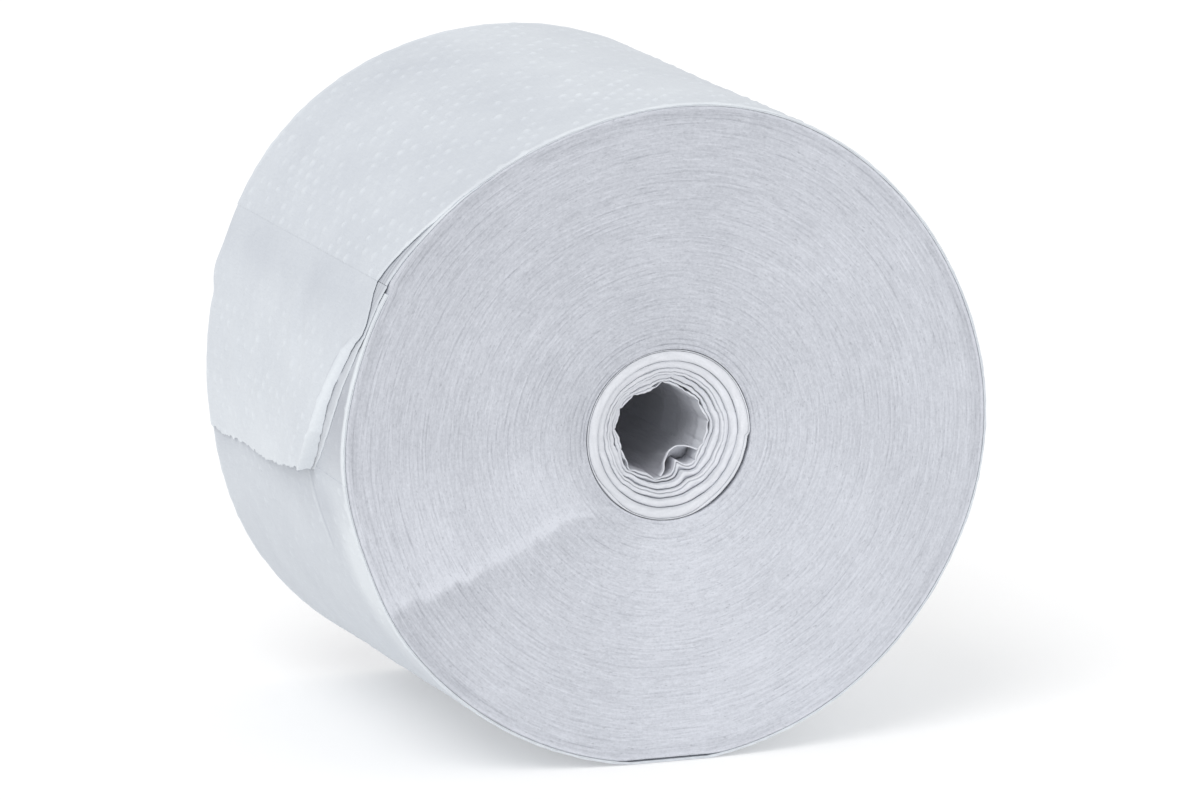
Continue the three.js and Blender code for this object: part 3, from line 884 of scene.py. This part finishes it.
def inner_end():
    """The free inner end: a thin ply that arches off the innermost turn into the bore."""
    n = 110
    line = through(
        [(-0.4, -12.9), (0.8, -11.3), (1.0, -8.8), (1.8, -6.6), (3.8, -5.1), (6.4, -4.9), (8.9, -5.5), (10.8, -6.3), (12.1, -6.5)], n
    )
    r0 = np.hypot(line[:, 0], line[:, 1])[:, None]
    deg0 = (np.degrees(np.arctan2(line[:, 1], line[:, 0])) % 360)[:, None]
    wall = 14.4
    thick = 0.36
    backs = np.array([0, 0.25, 0.8, 2, 4, 7, 11, 16, 24, 34, 46, 60, 78, 96, 112, 124, 126.5])
    y_front = FRONT + 6.6
    t = np.linspace(0, 1, n)[:, None]
    taper = smooth(0, 0.12, t) * smooth(0, 0.12, 1 - t)
    tops, lows = [], []
    for back in backs:
        sink = 0.06 * smooth(0, 2, back) + 0.94 * smooth(1.0, 9, back)
        r = r0 + (wall - r0) * sink
        deg = deg0 + 2.5 * noise(back / 14.0 + 3, 0, 114) * np.sin(math.pi * t)
        r = r + 0.25 * noise(t * 7.0, back / 20.0, 111) * np.sin(math.pi * t) + 0.08 * noise(t * 21.0, back / 6.0, 112)
        wob = (0.5 * noise(t * 5.0, 0, 113) + 0.2 * noise(t * 17.0, 0, 115)) * (1 - smooth(0, 3, back))
        k = (0.4 if back < 0.1 else 1.0) * (0.2 + 0.8 * np.minimum(taper + (1 - smooth(3, 9, back)), 1))[:, :, None]
        r = np.minimum(r, skin(4, 0, -1, deg, y_front + back) + 0.03 - 0.25 * taper)
        point = at(r, deg, y_front + back + wob)
        tangent = np.gradient(point, axis=0).reshape(n, 3)
        normal = np.stack([-tangent[:, 2], 0 * tangent[:, 0], tangent[:, 0]], -1)
        normal = (normal / np.maximum(np.linalg.norm(normal, axis=1, keepdims=True), 1e-9)).reshape(point.shape)
        tops.append(point + normal * thick / 2 * k)
        lows.append(point - normal * thick / 2 * k)
    top = np.concatenate([x.reshape(n, 1, 3) for x in tops], axis=1)
    low = np.concatenate([x.reshape(n, 1, 3) for x in lows], axis=1)
    section = np.concatenate([top, low[:, ::-1]], axis=1)
    k = section.shape[1]
    points = section.reshape(-1, 3)
    quads = quads_of(n, k, close_m=True)
    faces = [list(range(k)), list(range((n - 1) * k, n * k))[::-1]]
    if volume(points - points.mean(0), quads) < 0:
        quads = quads[:, ::-1]
    else:
        faces = [f[::-1] for f in faces]
    # painted shade deeper in the bore and in the pocket under the arch, and a painted highlight on the front edge
    away = np.concatenate([backs, backs[::-1]])[None, :] + 0 * t
    grey = painted_shade(away, deg0) + 0.15 * smooth(0.3, 2.5, away) * (1 - smooth(5, 13, away)) * np.sin(math.pi * t)
    tone = 0.35 - 0.5 * smooth(0.3, 2, away)
    ob = mesh("inner_end_loop", points, quads, faces, {"tone": tone, "grey": grey}, flip=False)
    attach(ob, "innermost_turn")
    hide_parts("inner_end")
    return ob


# ---- materials ------------------------------------------------------------------------
class Nodes:
    """Shorthand for building a node tree."""

    def __init__(self, name, roughness):
        self.material = bpy.data.materials.new(name)
        self.material.use_nodes = True
        self.tree = self.material.node_tree
        self.shader = self.tree.nodes["Principled BSDF"]
        self.shader.inputs["Roughness"].default_value = roughness
        self.shader.inputs["Metallic"].default_value = 0.0
        self.shader.inputs["Specular IOR Level"].default_value = 0.22
        self.shader.inputs["Sheen Weight"].default_value = 0.12
        self.shader.inputs["Sheen Roughness"].default_value = 0.6

    def new(self, kind, **settings):
        node = self.tree.nodes.new(kind)
        for key, value in settings.items():
            setattr(node, key, value)
        return node

    def link(self, a, b):
        self.tree.links.new(a, b)

    def math(self, operation, a, b=None, c=None, clamp=False):
        node = self.new("ShaderNodeMath", operation=operation, use_clamp=clamp)
        for i, x in enumerate((a, b, c)):
            if x is None:
                continue
            if isinstance(x, (int, float)):
                node.inputs[i].default_value = x
            else:
                self.link(x, node.inputs[i])
        return node.outputs[0]

    def noise(self, vector, scale, detail=2.0, rough=0.5):
        node = self.new("ShaderNodeTexNoise")
        node.inputs["Scale"].default_value = scale
        node.inputs["Detail"].default_value = detail
        node.inputs["Roughness"].default_value = rough
        self.link(vector, node.inputs["Vector"])
        return node.outputs["Fac"]

    def span(self, value, a, b, c, d):
        node = self.new("ShaderNodeMapRange", clamp=True)
        self.link(value, node.inputs["Value"])
        for key, x in zip(("From Min", "From Max", "To Min", "To Max"), (a, b, c, d)):
            node.inputs[key].default_value = x
        return node.outputs["Result"]

    def attribute(self, name):
        return self.new("ShaderNodeAttribute", attribute_name=name).outputs["Fac"]

    def place(self):
        return self.new("ShaderNodeTexCoord").outputs["Object"]

    def stretched(self, x, y, z):
        node = self.new("ShaderNodeMapping")
        node.inputs["Scale"].default_value = (x, y, z)
        self.link(self.place(), node.inputs["Vector"])
        return node.outputs["Vector"]

    def colour(self, dark, light, amount):
        ramp = self.new("ShaderNodeMix", data_type="RGBA")
        ramp.inputs[6].default_value = (*dark, 1)
        ramp.inputs[7].default_value = (*light, 1)
        self.link(amount, ramp.inputs[0])
        return ramp.outputs[2]

    def bump(self, height, distance, strength, below=None):
        node = self.new("ShaderNodeBump")
        node.inputs["Strength"].default_value = strength
        node.inputs["Distance"].default_value = distance
        self.link(height, node.inputs["Height"])
        if below is not None:
            self.link(below, node.inputs["Normal"])
        return node.outputs["Normal"]


def linear(hex_or_rgb):
    return tuple((c / 255 / 12.92) if c / 255 <= 0.04045 else ((c / 255 + 0.055) / 1.055) ** 2.4 for c in hex_or_rgb)


def web_material(name, dark, light, crepe=1.0):
    """Creped tissue: fine ridges across the web, loose fibres, faint cloudiness."""
    n = Nodes(name, 0.93)
    ridges = n.noise(n.stretched(1700, 260, 1700), 1.0, 2.0, 0.55)
    fibres = n.noise(n.stretched(900, 900, 900), 1.0, 3.0, 0.6)
    clouds = n.noise(n.place(), 38.0, 3.0, 0.6)
    cockles = n.noise(n.stretched(70, 26, 70), 1.0, 2.0, 0.5)
    amount = n.math("ADD", 0.56, n.math("MULTIPLY", n.math("SUBTRACT", clouds, 0.5), 0.55))
    amount = n.math("ADD", amount, n.math("MULTIPLY", n.math("SUBTRACT", fibres, 0.5), 0.28))
    amount = n.math("ADD", amount, n.math("MULTIPLY", n.math("SUBTRACT", ridges, 0.5), 0.20))
    # painted highlight: the raised dots made lighter
    amount = n.math("ADD", amount, n.math("MULTIPLY", n.attribute("dot"), 0.36))
    amount = n.math("ADD", amount, n.attribute("tone"), clamp=True)
    colour = n.colour(dark, light, amount)
    # multiplies in the painted shade carried by the grey attribute
    painted_shade = n.new("ShaderNodeMix", data_type="RGBA", blend_type="MULTIPLY")
    n.link(n.attribute("grey"), painted_shade.inputs[0])
    n.link(colour, painted_shade.inputs[6])
    painted_shade.inputs[7].default_value = (0.50, 0.49, 0.52, 1)
    n.link(painted_shade.outputs[2], n.shader.inputs["Base Color"])
    n.link(n.span(fibres, 0.3, 0.7, 0.88, 0.98), n.shader.inputs["Roughness"])
    normal = n.bump(ridges, 0.00022 * crepe, 0.55)
    normal = n.bump(fibres, 0.00018, 0.30, normal)
    normal = n.bump(cockles, 0.0012, 0.22, normal)
    n.link(normal, n.shader.inputs["Normal"])
    return n.material


def end_material(name, dark, light):
    """The cut edges of hundreds of layers: broken streaks that run round the axis, with flecks."""
    n = Nodes(name, 0.95)
    split = n.new("ShaderNodeSeparateXYZ")
    n.link(n.place(), split.inputs[0])
    x = split.outputs["X"]
    z = n.math("SUBTRACT", split.outputs["Z"], AXIS_Z * MM)
    r = n.math("SQRT", n.math("ADD", n.math("MULTIPLY", x, x), n.math("MULTIPLY", z, z)))
    safe = n.math("MAXIMUM", r, 0.001)
    cos, sin = n.math("DIVIDE", x, safe), n.math("DIVIDE", z, safe)

    def around(per_metre, turns, shift):
        join = n.new("ShaderNodeCombineXYZ")
        n.link(n.math("MULTIPLY_ADD", r, float(per_metre), float(shift)), join.inputs["X"])
        n.link(n.math("MULTIPLY", cos, float(turns)), join.inputs["Y"])
        n.link(n.math("MULTIPLY", sin, float(turns)), join.inputs["Z"])
        return join.outputs[0]

    streaks = n.noise(around(1500, 11, 3), 1.0, 2.0, 0.6)
    fine = n.noise(around(2400, 42, 17), 1.0, 2.0, 0.6)
    specks = n.noise(around(1900, 46, 41), 1.0, 1.0, 0.5)
    fluff = n.noise(n.stretched(1300, 1300, 1300), 1.0, 3.0, 0.65)
    clouds = n.noise(n.place(), 30.0, 2.0, 0.5)
    amount = n.math("ADD", 0.60, n.math("MULTIPLY", n.math("SUBTRACT", streaks, 0.5), 0.64))
    amount = n.math("ADD", amount, n.math("MULTIPLY", n.math("SUBTRACT", fine, 0.5), 0.55))
    amount = n.math("ADD", amount, n.math("MULTIPLY", n.math("SUBTRACT", fluff, 0.5), 0.62))
    amount = n.math("ADD", amount, n.math("MULTIPLY", n.math("SUBTRACT", clouds, 0.5), 0.35))
    amount = n.math("ADD", amount, n.math("MULTIPLY", n.attribute("tone"), 0.75), clamp=True)
    colour = n.colour(dark, light, amount)
    # darker dashes where an edge has torn
    fleck = n.span(specks, 0.68, 0.76, 0.0, 0.35)
    mix = n.new("ShaderNodeMix", data_type="RGBA")
    n.link(fleck, mix.inputs[0])
    n.link(colour, mix.inputs[6])
    mix.inputs[7].default_value = (*[c * 0.72 for c in dark[:3]], 1)
    n.link(mix.outputs[2], n.shader.inputs["Base Color"])
    n.link(n.span(fluff, 0.3, 0.7, 0.9, 0.99), n.shader.inputs["Roughness"])
    height = n.math("ADD", n.math("MULTIPLY", streaks, 0.55), n.math("MULTIPLY", fine, 0.45))
    normal = n.bump(height, 0.00030, 0.6)
    normal = n.bump(fluff, 0.0003, 0.5, normal)
    n.link(normal, n.shader.inputs["Normal"])
    return n.material


EMBOSSED = web_material("embossed_tissue", linear((191, 196, 204)), linear((222, 227, 232)))
LOOSE = web_material("loose_tissue", linear((198, 201, 207)), linear((230, 232, 238)), 1.4)
END = end_material("wound_edges", linear((158, 161, 169)), linear((213, 216, 224)))


def paint(ob, material):
    ob.data.materials.clear()
    ob.data.materials.append(material)


# ---- camera -----------------------------------------------------------------------
camera_data = bpy.data.cameras.new("camera")
camera_data.sensor_fit = "HORIZONTAL"
camera_data.sensor_width = 36.0
camera_data.lens = 10102.0 / 1200 * 36
camera_data.clip_start, camera_data.clip_end = 0.05, 60.0
camera = bpy.data.objects.new("camera", camera_data)
bpy.context.scene.collection.objects.link(camera)
yaw, pitch = 20.4013 * DEG, -11.788 * DEG
forward = Vector((math.sin(yaw) * math.cos(pitch), math.cos(yaw) * math.cos(pitch), math.sin(pitch)))
camera.matrix_world = Matrix.Translation((-0.98189, -2.65159, 0.68078)) @ forward.to_track_quat("-Z", "Y").to_matrix().to_4x4()
bpy.context.scene.camera = camera

# ---- pieces ---------------------------------------------------------------------------
body = wound_body()
paint(body, END)
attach(body, "roll")
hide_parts("wound_body")

slit = 0.002
sheets = [
    ("outer_sheet_1", CUTS[1] + slit, CUTS[0] - slit, True),
    ("outer_sheet_2", CUTS[2] + slit, CUTS[1] - slit, False),
    ("outer_sheet_3", CUTS[3] + slit, CUTS[2] - slit, False),
    ("outer_sheet_4", TAIL_ROOT + 1.2, CUTS[3] + 360 - slit, False),
]
for node, deg0, deg1, drawn in sheets:
    ob = outer_sheet(node + "_web", deg0, deg1, drawn)
    paint(ob, EMBOSSED)
    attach(ob, "roll")
    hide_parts(node)

crease = at(ROLL_R, TAIL_ROOT, 0) * MM
bent_by = at(ROLL_R, TAIL_ROOT + 9, 0) * MM
for node, ply in (("tail_inner_ply", 1), ("tail_outer_ply", 0)):
    points, quads, layers, area = tail_ply(node, ply)
    ob = mesh(node + "_web", points, quads, (), layers)
    paint(ob, EMBOSSED)
    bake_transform(ob)
    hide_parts(node)
    print("tail ply", ply, "flat area", area)

for index in range(len(BORE_TURNS)):
    paint(core_turn(index), LOOSE)
paint(inner_end(), LOOSE)

# ---- floor and light ------------------------------------------------------------------
floor_mesh = bpy.data.meshes.new("floor")
side = 6.0
floor_mesh.from_pydata([(-side, -side, 0), (side, -side, 0), (side, side, 0), (-side, side, 0)], [], [(0, 1, 2, 3)])
floor = bpy.data.objects.new("floor", floor_mesh)
floor.location = (0, 0, -0.0002)
bpy.context.scene.collection.objects.link(floor)
floor_material = bpy.data.materials.new("floor")
floor_material.use_nodes = True
floor_material.node_tree.nodes["Principled BSDF"].inputs["Base Color"].default_value = (0.78, 0.78, 0.78, 1)
floor_material.node_tree.nodes["Principled BSDF"].inputs["Emission Color"].default_value = (1.0, 1.0, 1.0, 1)
floor_material.node_tree.nodes["Principled BSDF"].inputs["Emission Strength"].default_value = 0.24
floor_material.node_tree.nodes["Principled BSDF"].inputs["Roughness"].default_value = 0.9
floor_material.node_tree.nodes["Principled BSDF"].inputs["Specular IOR Level"].default_value = 0.1
floor_mesh.materials.append(floor_material)

world = bpy.data.worlds.new("studio")
world.use_nodes = True
world.node_tree.nodes["Background"].inputs["Color"].default_value = (1.0, 1.0, 1.0, 1)
world.node_tree.nodes["Background"].inputs["Strength"].default_value = 0.84
bpy.context.scene.world = world


sun = bpy.data.lights.new("soft_key", "SUN")
sun.energy, sun.angle = 0.95, 30 * DEG
key = bpy.data.objects.new("soft_key", sun)
bpy.context.scene.collection.objects.link(key)
key.matrix_world = Vector((0.45, 0.5, -0.74)).to_track_quat("-Z", "Y").to_matrix().to_4x4()

bpy.context.scene.view_settings.view_transform = "Standard"
bpy.context.scene.view_settings.look = "None"
